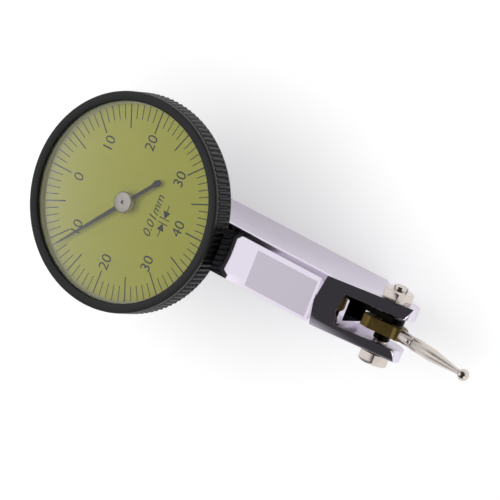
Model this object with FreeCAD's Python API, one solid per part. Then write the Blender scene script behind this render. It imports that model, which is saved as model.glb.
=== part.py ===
"""Lever type dial test indicator, 0.01 mm divisions, in millimetres.

+X runs from the dial axis to the stylus, +Z out of the dial's face, +Y = Z x X.
The origin is on the dial axis, on the outer face of the lower dovetail rail.
"""
import FreeCAD, Part
import math
import os
from FreeCAD import Vector

X_AXIS, Y_AXIS, Z_AXIS = Vector(1, 0, 0), Vector(0, 1, 0), Vector(0, 0, 1)
ORIGIN = Vector(0, 0, 0)

# ---------------------------------------------------------------- body bar and rails
body_width = 8.9
body_rear = -17.5
body_depth = 22.1           # lower rail face to upper rail face
rail_height = 2.8
rail_width = 7.9            # across the outer face of a rail
rail_angle = 60.0           # flank against the outer face
rail_end = 40.1             # where both rails stop, at the fork block
rail_gap = 0.45             # between the turning bezel and the upper rail
edge_break = 0.25           # small bevel on the long edges of the bar
shoulder_low = rail_height
shoulder_high = body_depth - rail_height
rail_neck = rail_width - 2 * rail_height / math.tan(math.radians(rail_angle))

# ---------------------------------------------------------------- fork at the front
pivot_x = 50.5
pivot_height = 14.2
fork_flare = 1.4            # degrees, each cheek, in plan, wider towards the nose
roof_pitch = 19.5           # degrees, across the bar
roof_slope = 20.7           # degrees, along the bar, down to the nose
nose_radius = 4.3
nose_blend = 2.2            # radius between the nose and the roof
slot_width = 5.5
slot_end = 44.05
chin_start = 41.5           # where the underside starts to rise to the nose
chin_flat = 1.4             # level part under the nose

# ---------------------------------------------------------------- dial case and bezel
dial_height = 23.0          # printed face of the dial
case_radius = 17.6
case_floor = 0.7
case_wall = 0.6
case_gap = 0.15             # dial plate over the case rim
bezel_radius = 19.0
bezel_height = 5.3
bezel_opening = 17.3
bezel_lip = 0.5
bezel_clearance = 0.06      # running fit of the bezel on the case
knurl_count = 120
knurl_depth = 0.42
knurl_low_land = 0.6        # plain rings below and above the knurl
knurl_high_land = 1.0
knurl_neck = 0.25           # depth of the plain ring under the lip
dial_thickness = 0.5
dial_hole = 1.3
crystal_thickness = 0.5
crystal_rise = 1.1
crystal_bands = 5
wire_size = 0.4             # square section of the bezel's retaining wire
wire_lift = 0.9             # its lower side above the body's shoulder
wire_depth = 0.25           # grooves in the case and in the bezel
wire_clearance = 0.03
wire_opening = 2.4
glue_gap = 0.02             # dial, ring and crystal in the bezel's bore
case_top = dial_height - dial_thickness - case_gap
bezel_top = dial_height + 2.0
bezel_bottom = bezel_top - bezel_height
bezel_bore = case_radius + bezel_clearance
wire_low = shoulder_high + wire_lift
wire_high = wire_low + wire_size

# ---------------------------------------------------------------- movement
gear_module = 0.2
pinion_teeth = 12
crown_teeth = 47
sector_full_teeth = 493     # the whole circle that the sector is cut from
sector_cut_teeth = 9        # the teeth that are there
tooth_addendum = 0.8        # times the module
tooth_dedendum = 1.1
tooth_fullness = 0.62       # of the nominal thickness, the rest is backlash
plate_radius = 8.0
plate_thickness = 0.7
cheek_inner = 2.6           # from the middle plane to a cheek
cheek_thickness = 0.7
cheek_width = 3.6
cheek_drop = 5.2            # from the crown arbor's axis to the cheek's foot
arbor_radius = 0.5
pivot_radius = 0.15
jewel_radius = 0.6
jewel_clearance = 0.05
bridge_thickness = 0.8
bridge_height = 1.5         # underside of the bridge above the crown arbor's axis
bridge_reach = 1.0          # of the bridge past the middle plane
bridge_back = -1.9
bridge_front = 0.8
crown_face = 0.8            # length of the crown teeth, along the radius
crown_rim = 0.55            # thickness behind the crown teeth
pinion_radius = gear_module * pinion_teeth / 2
crown_radius = gear_module * crown_teeth / 2
sector_radius = gear_module * sector_full_teeth / 2
addendum = gear_module * tooth_addendum
dedendum = gear_module * tooth_dedendum
plate_bottom = shoulder_high + case_floor
plate_top = plate_bottom + plate_thickness
crown_x = pivot_x - sector_radius - pinion_radius   # the crown arbor lies under the dial axis
centre_hole = 0.45

# ---------------------------------------------------------------- lever and stylus
channel_low = -2.0          # sides of the lever's channel, from the middle plane
channel_high = 2.6
lever_inner = 1.2           # the lever's inner face, from the middle plane
lever_thickness = 1.0
lever_hub = 1.5             # half height of the lever at its pivot
lever_tail = 0.8            # half height of the lever behind the sector
lever_nose = 2.9            # lever's round front end, from the pivot
cavity_clearance = 0.5
sector_depth = 2.8          # length of the sector's blade behind its teeth
lever_swing = 2.3           # degrees, each way
holder_thickness = 2.1
holder_offset = -0.05       # middle of the holder, from the middle plane
holder_front = 4.2
holder_nose = 1.25          # half height at the stylus
holder_top = 3.45           # above the pivot
holder_foot = -2.6
holder_back = -3.6
holder_round = 0.8
axle_radius = 1.0
axle_clearance = 0.03
collar_radius = 1.45
washer_thickness = 0.12
stylus_tilt = 14.8          # degrees, the stylus above the bar's direction
stylus_length = 20.25       # pivot to the ball's centre
ball_radius = 1.05
shank_radius = 1.15
neck_radius = 0.5
taper_start = 8.0           # from the ball's centre
taper_end = 1.7
groove_place = 12.4
groove_width = 0.35
groove_depth = 0.13
wrench_hole = 0.3           # radius of the cross hole in the groove
stud_radius = 0.8
stud_length = 2.2

# ---------------------------------------------------------------- pivot screws and nuts
screw_radius = 1.25
thread_clearance = 0.02
screw_end = 7.3             # outer end of the upper screw, from the middle plane
screw_lower_end = 6.7
cone_gap = 0.03
cone_radius = 0.55
cone_length = 0.75
nut_flats = 5.0
nut_height = 1.85
slot_cut = 0.5              # screwdriver slots

# ---------------------------------------------------------------- pointer and hairspring
needle_height = 0.85        # above the dial
needle_thickness = 0.15
needle_length = 15.56
needle_tail = 7.9
needle_ring = 1.3
needle_angle = 230.4        # degrees from +X
hub_radius = 1.83
hub_height = 1.8            # top of the cap above the dial
hub_collar = 1.0
press_gap = 0.01
spring_turns = 3
spring_inner = 1.35
spring_outer = 5.6
spring_thickness = 0.12
spring_height = 0.35
spring_lift = 0.4           # hairspring above the movement plate
collet_radius = 1.1
collet_height = 0.7
collet_lift = 0.2

# ---------------------------------------------------------------- small screws
case_screw_x = (-12.0, 13.0)
case_screw_y = 2.9
case_screw_radius = 0.8
case_screw_head = 1.5
case_screw_depth = 1.9
plate_screw_circle = 6.7
plate_screw_count = 3
plate_screw_radius = 0.5
plate_screw_head = 0.95
plate_screw_head_height = 0.5
plate_screw_start = 30.0


# ================================================================ helpers
def box(x0, x1, y0, y1, z0, z1):
    return Part.makeBox(x1 - x0, y1 - y0, z1 - z0, Vector(x0, y0, z0))


def rod(radius, start, length, direction=Z_AXIS):
    return Part.makeCylinder(radius, length, start, direction)


def y_rod(radius, x, z, y0, y1):
    return rod(radius, Vector(x, y0, z), y1 - y0, Y_AXIS)


def z_ring(inner, outer, z0, z1):
    ring = rod(outer, Vector(0, 0, z0), z1 - z0)
    return ring.cut(rod(inner, Vector(0, 0, z0 - 1), z1 - z0 + 2))


def prism(points, direction):
    """A closed outline of points, pushed along a direction."""
    return Part.Face(Part.makePolygon(list(points) + [points[0]])).extrude(direction)


def turned(profile, place=ORIGIN, direction=Z_AXIS):
    """A solid of revolution from (radius, height) pairs, about +Z, then laid along a direction."""
    points = [Vector(radius, 0, height) for radius, height in profile]
    face = Part.Face(Part.makePolygon(points + [points[0]]))
    solid = face.revolve(ORIGIN, Z_AXIS, 360)
    solid = Part.Solid(Part.Shell(solid.Faces))
    if solid.Volume < 0:
        solid.reverse()
    turn = FreeCAD.Rotation(Z_AXIS, direction)
    solid.Placement = FreeCAD.Placement(place, turn)
    return solid


def save(name, *solids):
    shape = solids[0] if len(solids) == 1 else Part.makeCompound(list(solids))
    shape.exportStep(os.path.join("parts", name + ".step"))


# ================================================================ gear teeth
def tooth_outline(pitch_radius, centre_angle):
    """Three points a side of one straight-sided tooth, as (radius, angle) pairs."""
    half = math.pi * gear_module / 4 * tooth_fullness
    steps = ((-dedendum, 1.35), (addendum, 0.5))
    rising = [(pitch_radius + dr, centre_angle - half * wide / pitch_radius) for dr, wide in steps]
    falling = [(pitch_radius + dr, centre_angle + half * wide / pitch_radius) for dr, wide in reversed(steps)]
    return rising + falling


def gear_points(pitch_radius, count, first_angle):
    """The outline of a small wheel, as points in a plane, one tooth after another."""
    outline = []
    for tooth in range(count):
        outline += tooth_outline(pitch_radius, first_angle + 2 * math.pi * tooth / count)
    return [(radius * math.cos(angle), radius * math.sin(angle)) for radius, angle in outline]


def pinion_about_z(z0, z1, first_angle):
    points = [Vector(x, y, z0) for x, y in gear_points(pinion_radius, pinion_teeth, first_angle)]
    return prism(points, Vector(0, 0, z1 - z0))


def pinion_about_y(y0, y1, first_angle):
    points = [Vector(crown_x + x, y0, pivot_height + z)
              for x, z in gear_points(pinion_radius, pinion_teeth, first_angle)]
    return prism(points, Vector(0, y1 - y0, 0))


# ================================================================ body
def rail_profile(width_outer, width_inner, outer, inner):
    """Half-width and height pairs of a dovetail, from its outer face to its root."""
    return ((width_outer / 2, outer), (width_inner / 2, inner),
            (-width_inner / 2, inner), (-width_outer / 2, outer))


def half_width_at(x):
    """Half width of the fork block across its cheeks, at a place along the bar."""
    return body_width / 2 + (x - rail_end) * math.tan(math.radians(fork_flare))


def about(centre, radius, angle):
    """A point on a circle in the side view, the angle in radians from +X towards +Z."""
    return centre + Vector(radius * math.cos(angle), 0, radius * math.sin(angle))


def fork_outline():
    """Side view of the fork block: flat chin, round nose, and a smaller arc up to the roof."""
    pivot = Vector(pivot_x, 0, pivot_height)
    slope = math.radians(roof_slope)
    roof_over_pivot = (body_depth - (pivot_x - rail_end) * math.tan(slope)
                       - slot_width / 2 * math.tan(math.radians(roof_pitch)) - pivot_height)
    reach = nose_radius - nose_blend
    join = math.asin((roof_over_pivot * math.cos(slope) - nose_blend) / reach) - slope
    centre = about(pivot, reach, join)
    bottom = -math.pi / 2
    top = math.pi / 2 - slope
    nose = Part.Arc(about(pivot, nose_radius, bottom), about(pivot, nose_radius, (bottom + join) / 2),
                    about(pivot, nose_radius, join)).toShape()
    blend = Part.Arc(about(pivot, nose_radius, join), about(centre, nose_blend, (join + top) / 2),
                     about(centre, nose_blend, top)).toShape()
    start = Vector(rail_end, 0, shoulder_low)
    chin = Part.makePolygon([start, Vector(chin_start, 0, shoulder_low),
                             about(pivot, nose_radius, bottom) - Vector(chin_flat, 0, 0),
                             about(pivot, nose_radius, bottom)])
    high = body_depth + 1
    tangent = about(centre, nose_blend, top)
    back = Part.makePolygon([tangent, Vector(tangent.x, 0, high), Vector(rail_end, 0, high), start])
    return Part.Face(Part.Wire(chin.Edges + [nose, blend] + back.Edges))


def fork_block():
    """Front block: a ridge roof sloping down to a round nose, wider towards the front."""
    far = pivot_x + nose_radius + 1
    wide = half_width_at(far)
    block = fork_outline().extrude(Vector(0, 2 * wide, 0))
    block.translate(Vector(0, -wide, 0))
    narrow = half_width_at(rail_end)
    plan = [Vector(rail_end, -narrow, 0), Vector(far, -wide, 0), Vector(far, wide, 0), Vector(rail_end, narrow, 0)]
    block = block.common(prism(plan, Vector(0, 0, body_depth + 2)))

    eave = body_depth - body_width * math.tan(math.radians(roof_pitch))
    run = Vector(far - rail_end, 0, -(far - rail_end) * math.tan(math.radians(roof_slope)))
    roof = [Vector(rail_end, 0, body_depth), Vector(rail_end, body_width, eave),
            Vector(rail_end, body_width, -body_depth), Vector(rail_end, -body_width, -body_depth),
            Vector(rail_end, -body_width, eave)]
    return block.common(prism(roof, run))


def pocket():
    """The room in the bar for the crown gear and the sector, and the lever's channel."""
    tooth_half = (sector_cut_teeth + 1) * math.pi * gear_module / 2
    swing = math.tan(math.radians(lever_swing))
    reach = crown_radius + crown_face / 2 + cavity_clearance
    half = max(tooth_half + sector_radius * swing, reach) + 0.2
    wide = cheek_inner + cheek_thickness + 0.1
    room = box(crown_x - reach - 0.4, crown_x + reach + 3.0, -wide, wide, pivot_height - half, shoulder_high + 1)
    channel_half = lever_hub + sector_radius * swing * 0.8 + 0.2
    channel = box(crown_x, slot_end + 1, channel_low, channel_high,
                  pivot_height - channel_half, pivot_height + channel_half)
    return room.fuse(channel)


def body_frame():
    bar = box(body_rear, rail_end, -body_width / 2, body_width / 2, shoulder_low, shoulder_high)
    long_edges = [edge for edge in bar.Edges
                  if abs(edge.tangentAt(edge.FirstParameter).x) > 0.9 and edge.CenterOfMass.z > body_depth / 2]
    bar = bar.makeChamfer(edge_break, long_edges)
    start = bezel_radius + rail_gap
    top = [Vector(0, y, z) for y, z in rail_profile(rail_width, rail_neck, body_depth, shoulder_high)]
    upper = prism(top, Vector(rail_end, 0, 0))
    upper = upper.cut(rod(start, Vector(0, 0, shoulder_high), body_depth))
    low = [Vector(body_rear, y, z) for y, z in rail_profile(rail_width, rail_neck, 0, shoulder_low)]
    lower = prism(low, Vector(rail_end - body_rear, 0, 0))
    back = [Vector(body_rear - x, y, shoulder_low)
            for y, x in rail_profile(rail_width, rail_neck, rail_height, 0)]
    rear = prism(back, Vector(0, 0, shoulder_high - shoulder_low - 0.2))
    frame = bar.multiFuse([upper, lower, rear, fork_block()])

    far = pivot_x + nose_radius + 1
    slot = box(slot_end, far, -slot_width / 2, slot_width / 2, -1, body_depth + 5)
    threads = y_rod(screw_radius + thread_clearance, pivot_x, pivot_height, -body_width, body_width)
    cuts = [slot, pocket(), threads]
    for x in case_screw_x:
        for y in (-case_screw_y, case_screw_y):
            cuts.append(rod(case_screw_radius + thread_clearance,
                            Vector(x, y, shoulder_high - case_screw_depth), case_screw_depth + 1))
    for cut in cuts:
        frame = frame.cut(cut)
    return frame.removeSplitter().Solids[0]


# ================================================================ dial case, bezel, dial, crystal
def case_screw(x, y):
    head = case_screw_head - case_screw_radius
    profile = [(0, -case_screw_depth + 0.1), (case_screw_radius, -case_screw_depth + 0.1),
               (case_screw_radius, case_floor - head), (case_screw_head, case_floor), (0, case_floor)]
    screw = turned(profile, Vector(x, y, shoulder_high))
    top = shoulder_high + case_floor
    return screw.cut(box(x - 2, x + 2, y - 0.15, y + 0.15, top - 0.3, top + 1))


def dial_case():
    floor = shoulder_high + case_floor
    profile = [(0, shoulder_high), (case_radius, shoulder_high), (case_radius, case_top),
               (case_radius - case_wall, case_top), (case_radius - case_wall, floor), (0, floor)]
    case = turned(profile)
    wide = cheek_inner + cheek_thickness + 0.1
    case = case.cut(box(-cheek_width / 2 - 0.2, cheek_width / 2 + 0.2, -wide, wide, shoulder_high - 1, floor + 1))
    head = case_screw_head - case_screw_radius
    for x in case_screw_x:
        for y in (-case_screw_y, case_screw_y):
            seat = [(0, -1), (case_screw_radius + thread_clearance, -1),
                    (case_screw_radius + thread_clearance, case_floor - head),
                    (case_screw_head + thread_clearance, case_floor), (case_screw_head, case_floor + 1),
                    (0, case_floor + 1)]
            case = case.cut(turned(seat, Vector(x, y, shoulder_high)))
    for turn in range(plate_screw_count):
        x, y = plate_screw_place(turn)
        case = case.cut(rod(plate_screw_radius + thread_clearance, Vector(x, y, shoulder_high - 1), 5))
    groove = z_ring(case_radius - wire_depth, case_radius + 1, wire_low - wire_clearance, wire_high + wire_clearance)
    return case.cut(groove)


def bezel():
    """Ring with a plain lip, a straight knurl and a plain foot."""
    knurl_low = bezel_bottom + knurl_low_land
    knurl_high = bezel_top - knurl_high_land
    foot = bezel_radius - knurl_neck
    profile = [(bezel_bore, bezel_bottom), (foot - 0.2, bezel_bottom), (foot, bezel_bottom + 0.2),
               (foot, knurl_low), (foot - knurl_depth, knurl_low), (foot - knurl_depth, knurl_high),
               (foot, knurl_high), (bezel_radius, knurl_high + 0.3), (bezel_radius, bezel_top - 0.15),
               (bezel_radius - 0.15, bezel_top), (bezel_opening + 0.1, bezel_top),
               (bezel_opening, bezel_top - 0.1), (bezel_opening, bezel_top - bezel_lip),
               (bezel_bore, bezel_top - bezel_lip), (bezel_bore, wire_high + wire_clearance),
               (bezel_bore + wire_depth, wire_high + wire_clearance),
               (bezel_bore + wire_depth, wire_low - wire_clearance), (bezel_bore, wire_low - wire_clearance)]
    ring = turned(profile)
    ribs = []
    for rib in range(knurl_count):
        centre = 2 * math.pi * rib / knurl_count
        for radius, share in ((bezel_radius - knurl_depth, -0.5), (bezel_radius, 0)):
            angle = centre + share * 2 * math.pi / knurl_count
            ribs.append(Vector(radius * math.cos(angle), radius * math.sin(angle), knurl_low))
    knurl = prism(ribs, Vector(0, 0, knurl_high - knurl_low))
    knurl = knurl.cut(rod(bezel_bore + 0.3, Vector(0, 0, bezel_bottom), bezel_height))
    return ring.fuse(knurl)


def bezel_wire():
    """Square spring ring in the case's groove; it reaches into the bezel's groove and is open at the back."""
    wire = z_ring(case_radius - wire_depth + wire_clearance, bezel_bore + wire_depth - wire_clearance,
                  wire_low, wire_high)
    return wire.cut(box(-bezel_radius, 0, -wire_opening / 2, wire_opening / 2, wire_low - 1, wire_high + 1))


def dial_plate():
    edge = bezel_bore - glue_gap
    return z_ring(dial_hole, edge, dial_height - dial_thickness, dial_height)


def rim_ring():
    """Pale spacer between the dial and the crystal, its inner wall opening upwards."""
    outer = bezel_bore - glue_gap
    top = crystal_seat()
    profile = [(bezel_opening - 0.4, dial_height), (outer, dial_height), (outer, top), (bezel_opening - 0.05, top)]
    return turned(profile)


def crystal_seat():
    return bezel_top - bezel_lip - crystal_thickness


def crystal():
    """A shallow dome of conical bands with a flat edge under the bezel's lip."""
    low = crystal_seat()
    edge = bezel_bore - glue_gap
    rim = bezel_opening - 0.1
    dome = (rim ** 2 + crystal_rise ** 2) / (2 * crystal_rise)
    under = []
    for band in range(crystal_bands + 1):
        radius = rim * band / crystal_bands
        under.append((radius, low + crystal_rise - dome + math.sqrt(dome ** 2 - radius ** 2)))
    over = [(radius, height + crystal_thickness) for radius, height in reversed(under)]
    return turned(under + [(edge, low), (edge, low + crystal_thickness)] + over)


# ================================================================ movement
def plate_screw_place(turn):
    angle = math.radians(plate_screw_start + 360.0 * turn / plate_screw_count)
    return plate_screw_circle * math.cos(angle), plate_screw_circle * math.sin(angle)


def movement_plate():
    plate = rod(plate_radius, Vector(0, 0, plate_bottom), plate_thickness)
    plate = plate.cut(rod(2 * jewel_radius, Vector(0, 0, plate_bottom - 1), 4))
    for side in (-1, 1):
        y0, y1 = sorted((side * (cheek_inner - press_gap), side * (cheek_inner + cheek_thickness + press_gap)))
        plate = plate.cut(box(-cheek_width / 2 - press_gap, cheek_width / 2 + press_gap, y0, y1,
                              plate_bottom - 1, plate_top + 1))
    for turn in range(plate_screw_count):
        x, y = plate_screw_place(turn)
        plate = plate.cut(rod(plate_screw_radius + thread_clearance, Vector(x, y, plate_bottom - 1), 4))
    return plate


def plate_screw(turn):
    x, y = plate_screw_place(turn)
    screw = rod(plate_screw_radius, Vector(x, y, shoulder_high + 0.05), case_floor + plate_thickness)
    screw = screw.fuse(rod(plate_screw_head, Vector(x, y, plate_top), plate_screw_head_height))
    return screw.cut(box(x - 2, x + 2, y - 0.12, y + 0.12, plate_top + 0.25, plate_top + 2))


def cheek(side):
    y0, y1 = sorted((side * cheek_inner, side * (cheek_inner + cheek_thickness)))
    plate = box(-cheek_width / 2, cheek_width / 2, y0, y1, pivot_height - cheek_drop + 2.4, plate_top)
    foot = y_rod(cheek_width / 2, crown_x, pivot_height - cheek_drop + 2.4, y0, y1)
    plate = plate.fuse(foot).removeSplitter()
    plate = plate.cut(y_rod(jewel_radius, crown_x, pivot_height, y0 - 1, y1 + 1))
    if side > 0:
        z0 = pivot_height + bridge_height
        plate = plate.cut(box(bridge_back, bridge_front, y0 - 1, y1 + 1,
                              z0 - press_gap, z0 + bridge_thickness + press_gap))
    return plate


def lower_bridge():
    z0 = pivot_height + bridge_height
    bar = box(bridge_back + press_gap, bridge_front - press_gap, -bridge_reach, cheek_inner + cheek_thickness,
              z0, z0 + bridge_thickness)
    return bar.cut(rod(jewel_radius, Vector(0, 0, z0 - 1), 3))


def ring_jewel(place, length, direction, outer, hole):
    jewel = rod(outer, place, length, direction)
    return jewel.cut(rod(hole, place - direction, length + 2, direction))


def crown_jewels():
    hole = pivot_radius + jewel_clearance
    for side in (-1, 1):
        start = cheek_inner if side > 0 else -cheek_inner - cheek_thickness
        yield ring_jewel(Vector(crown_x, start, pivot_height), cheek_thickness, Y_AXIS, jewel_radius, hole)


def centre_jewels():
    z0 = pivot_height + bridge_height
    yield ring_jewel(Vector(0, 0, z0), bridge_thickness, Z_AXIS, jewel_radius, pivot_radius + jewel_clearance)
    yield ring_jewel(Vector(0, 0, plate_bottom), plate_thickness, Z_AXIS, 2 * jewel_radius, centre_hole)


def crown_arbor():
    """Cross arbor with its pinion; a gap between two teeth faces the sector."""
    inner = cheek_inner - 0.08
    outer = cheek_inner + cheek_thickness - 0.05
    shaft = y_rod(arbor_radius, crown_x, pivot_height, -inner, inner)
    tips = y_rod(pivot_radius, crown_x, pivot_height, -outer, outer)
    y0 = lever_inner + 0.1
    pinion = pinion_about_y(y0, min(y0 + lever_thickness + 0.1, inner), math.pi / pinion_teeth)
    return shaft.fuse(tips).fuse(pinion)


def crown_gear():
    """Crown wheel on the cross arbor; its teeth point at the dial axis."""
    pitch_plane = -pinion_radius
    root = pitch_plane - dedendum
    back = root - crown_rim
    disc = y_rod(crown_radius + crown_face / 2, crown_x, pivot_height, back, root)
    teeth = [crown_tooth(2 * math.pi * tooth / crown_teeth, root - 0.05, pitch_plane + addendum)
             for tooth in range(crown_teeth)]
    wheel = disc.multiFuse(teeth)
    hub = y_rod(2 * arbor_radius, crown_x, pivot_height, back - 0.25, root)
    return wheel.fuse(hub).cut(y_rod(arbor_radius, crown_x, pivot_height, back - 2, root + 2))


def crown_tooth(angle, y_low, y_high):
    """One tooth of even width along the radius, wider at its root."""
    half = math.pi * gear_module / 4 * tooth_fullness
    start = pivot_height + crown_radius - crown_face / 2
    section = [Vector(crown_x + across, y, start)
               for across, y in ((-1.35 * half, y_low), (-0.5 * half, y_high), (0.5 * half, y_high), (1.35 * half, y_low))]
    tooth = prism(section, Vector(0, 0, crown_face - 0.02))
    tooth.rotate(Vector(crown_x, 0, pivot_height), Y_AXIS, math.degrees(angle))
    return tooth


def centre_pinion():
    """Centre arbor with its pinion, from the lower bridge's jewel to the pointer."""
    low = pivot_height + bridge_height + 0.1
    shoulder = pivot_height + bridge_height + bridge_thickness + 0.05
    middle = pivot_height + crown_radius
    top = dial_height + hub_height - 0.3
    pivot = rod(pivot_radius, Vector(0, 0, low), shoulder - low + 0.2)
    shaft = rod(arbor_radius, Vector(0, 0, shoulder), plate_bottom - 0.1 - shoulder)
    upper = rod(centre_hole - jewel_clearance, Vector(0, 0, plate_bottom - 0.2), top - plate_bottom + 0.2)
    half = crown_face / 2 + 0.3
    teeth = pinion_about_z(middle - half, middle + half, -math.pi / 2 + math.pi / pinion_teeth)
    return pivot.fuse(shaft).fuse(upper).fuse(teeth)


def hairspring():
    """Flat spiral of half circles on two centres, each a step larger than the last."""
    halves = 2 * spring_turns
    step = (spring_outer - spring_inner) / halves
    z0 = plate_top + spring_lift
    walls = []
    for offset in (0, spring_thickness):
        arcs = []
        for half in range(halves):
            radius = spring_inner + step * half + offset
            side, centre = (1, 0) if half % 2 == 0 else (-1, step)
            points = [Vector(centre + side * radius, 0, z0), Vector(centre, side * radius, z0),
                      Vector(centre - side * radius, 0, z0)]
            arcs.append(Part.Arc(*points).toShape())
        walls.append(arcs)
    inner, outer = walls
    starts = Part.makePolygon([inner[0].Vertexes[0].Point, outer[0].Vertexes[0].Point])
    ends = Part.makePolygon([inner[-1].Vertexes[-1].Point, outer[-1].Vertexes[-1].Point])
    wire = Part.Wire(inner + ends.Edges + outer[::-1] + starts.Edges)
    return Part.Face(wire).extrude(Vector(0, 0, spring_height))


def spring_stud():
    """Post on the movement plate that holds the hairspring's outer end."""
    reach = spring_outer + 0.25
    post = rod(0.45, Vector(reach + 0.3, 0, plate_top), spring_lift + spring_height + 0.3)
    return post.cut(hairspring())


def spring_collet():
    hole = centre_hole - jewel_clearance
    z0 = plate_top + collet_lift
    return z_ring(hole, collet_radius, z0, z0 + collet_height)


# ================================================================ pointer
def pointer():
    """Thin needle with a ring at the hub and a spade on its tail, turned to its rest angle."""
    z0 = dial_height + needle_height
    taper = [Vector(0, -0.42, z0), Vector(needle_length, -0.13, z0), Vector(needle_length, 0.13, z0),
             Vector(0, 0.42, z0)]
    spade = [Vector(0, -0.3, z0), Vector(-needle_tail + 1.8, -0.3, z0), Vector(-needle_tail + 0.9, -0.62, z0),
             Vector(-needle_tail, -0.3, z0), Vector(-needle_tail, 0.3, z0),
             Vector(-needle_tail + 0.9, 0.62, z0), Vector(-needle_tail + 1.8, 0.3, z0), Vector(0, 0.3, z0)]
    thick = Vector(0, 0, needle_thickness)
    blade = prism(taper, thick).fuse(prism(spade, thick))
    blade = blade.fuse(rod(needle_ring, Vector(0, 0, z0), needle_thickness))
    blade = blade.cut(rod(hub_collar - 0.1, Vector(0, 0, z0 - 1), 3)).removeSplitter()
    blade.rotate(ORIGIN, Z_AXIS, needle_angle)
    return blade


def pointer_hub():
    """Cap over the needle, with a collar that reaches down to the dial."""
    under = needle_height
    over = needle_height + needle_thickness
    neck = hub_collar - 0.1 - press_gap
    profile = [(0, 0.15), (hub_collar, 0.15), (hub_collar, under), (neck, under), (neck, over),
               (hub_radius, over), (hub_radius, hub_height - 0.2), (hub_radius - 0.2, hub_height), (0, hub_height)]
    hub = turned(profile, Vector(0, 0, dial_height))
    arbor = centre_hole - jewel_clearance
    hub = hub.cut(rod(arbor, Vector(0, 0, dial_height - 1), hub_height - 0.3 + 1))
    return hub.cut(rod(0.3, Vector(0, 0, dial_height), hub_height + 1))


# ================================================================ lever
def lever_arm():
    """Long lever with the toothed sector at its rear, the axle and its bearing cups at the front."""
    y0, y1 = lever_inner, lever_inner + lever_thickness
    root = sector_radius - dedendum
    half_angle = (sector_cut_teeth + 0.6) * math.pi / sector_full_teeth
    blade_back = root - sector_depth
    def around(radius, angle):
        return Vector(pivot_x - radius * math.cos(angle), y0, pivot_height + radius * math.sin(angle))
    arm = [around(blade_back, 0) + Vector(0, 0, lever_tail), Vector(pivot_x - 4, y0, pivot_height + lever_hub),
           Vector(pivot_x + lever_nose - lever_hub, y0, pivot_height + lever_hub),
           Vector(pivot_x + lever_nose - lever_hub, y0, pivot_height - lever_hub),
           Vector(pivot_x - 4, y0, pivot_height - lever_hub), around(blade_back, 0) - Vector(0, 0, lever_tail)]
    thick = Vector(0, y1 - y0, 0)
    solid = prism(arm, thick)
    solid = solid.fuse(y_rod(lever_hub, pivot_x + lever_nose - lever_hub, pivot_height, y0, y1))
    fan = [around(blade_back - 1.5, lever_tail / blade_back), around(blade_back, half_angle)]
    first = -(sector_cut_teeth - 1) / 2
    for tooth in range(sector_cut_teeth):
        centre = 2 * math.pi * (first + tooth) / sector_full_teeth
        fan += [around(radius, -angle) for radius, angle in tooth_outline(sector_radius, centre)]
    fan += [around(blade_back, -half_angle), around(blade_back - 1.5, -lever_tail / blade_back)]
    solid = solid.fuse(prism(fan, thick))
    low = -slot_width / 2 + 0.35
    high = y1 + 0.1
    solid = solid.fuse(y_rod(axle_radius, pivot_x, pivot_height, low, y0))
    solid = solid.fuse(y_rod(lever_hub, pivot_x, pivot_height, y1, high))
    for end, way in ((low, -1), (high, 1)):
        solid = solid.cut(bearing_cone(end, way, cone_gap))
    return solid.removeSplitter()


def bearing_cone(end, way, gap):
    """Cone that runs into the axle's end from outside; a gap widens it to the cup."""
    base = Vector(pivot_x, end + way * 0.001 * (1 if gap else 0), pivot_height)
    return Part.makeCone(cone_radius + gap, 0.02, cone_length + gap, base, Y_AXIS * -way)


def friction_collar():
    """Ring pressed on the axle that loads the wave washer against the holder."""
    y1 = holder_offset - holder_thickness / 2 - washer_thickness - press_gap
    low = -slot_width / 2 + 0.4
    ring = y_rod(collar_radius, pivot_x, pivot_height, low, y1)
    return ring.cut(y_rod(axle_radius, pivot_x, pivot_height, low - 1, y1 + 1))


def friction_washer():
    y1 = holder_offset - holder_thickness / 2 - press_gap
    y0 = y1 - washer_thickness + press_gap
    ring = y_rod(collar_radius + 0.3, pivot_x, pivot_height, y0, y1)
    return ring.cut(y_rod(axle_radius + press_gap, pivot_x, pivot_height, y0 - 1, y1 + 1))


# ================================================================ stylus
def tilted(shape):
    """Turns a piece made level about the pivot up to the stylus's rest tilt."""
    shape.rotate(Vector(pivot_x, 0, pivot_height), Y_AXIS, -stylus_tilt)
    return shape


def stylus_axis_point(distance):
    return Vector(pivot_x + distance, 0, pivot_height)


def stylus_holder():
    """Block that turns on the lever's axle and takes the stylus at its front."""
    y0 = holder_offset - holder_thickness / 2
    y1 = holder_offset + holder_thickness / 2
    outline = ((holder_back + 0.6, holder_top), (-1.0, holder_top), (holder_front - 1.2, holder_nose),
               (holder_front, holder_nose), (holder_front, -holder_nose), (2.5, -2.2), (-2.0, holder_foot),
               (holder_back, -1.5))
    block = prism([Vector(pivot_x + x, y0, pivot_height + z) for x, z in outline], Vector(0, y1 - y0, 0))
    rounding = [edge for edge in block.Edges if abs(edge.tangentAt(edge.FirstParameter).y) > 0.9]
    block = block.makeFillet(holder_round, rounding)
    block = block.cut(y_rod(axle_radius + axle_clearance, pivot_x, pivot_height, y0 - 1, y1 + 1))
    seat = rod(stud_radius + thread_clearance, stylus_axis_point(holder_front - stud_length), 10, X_AXIS)
    return tilted(block.cut(seat))


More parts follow.
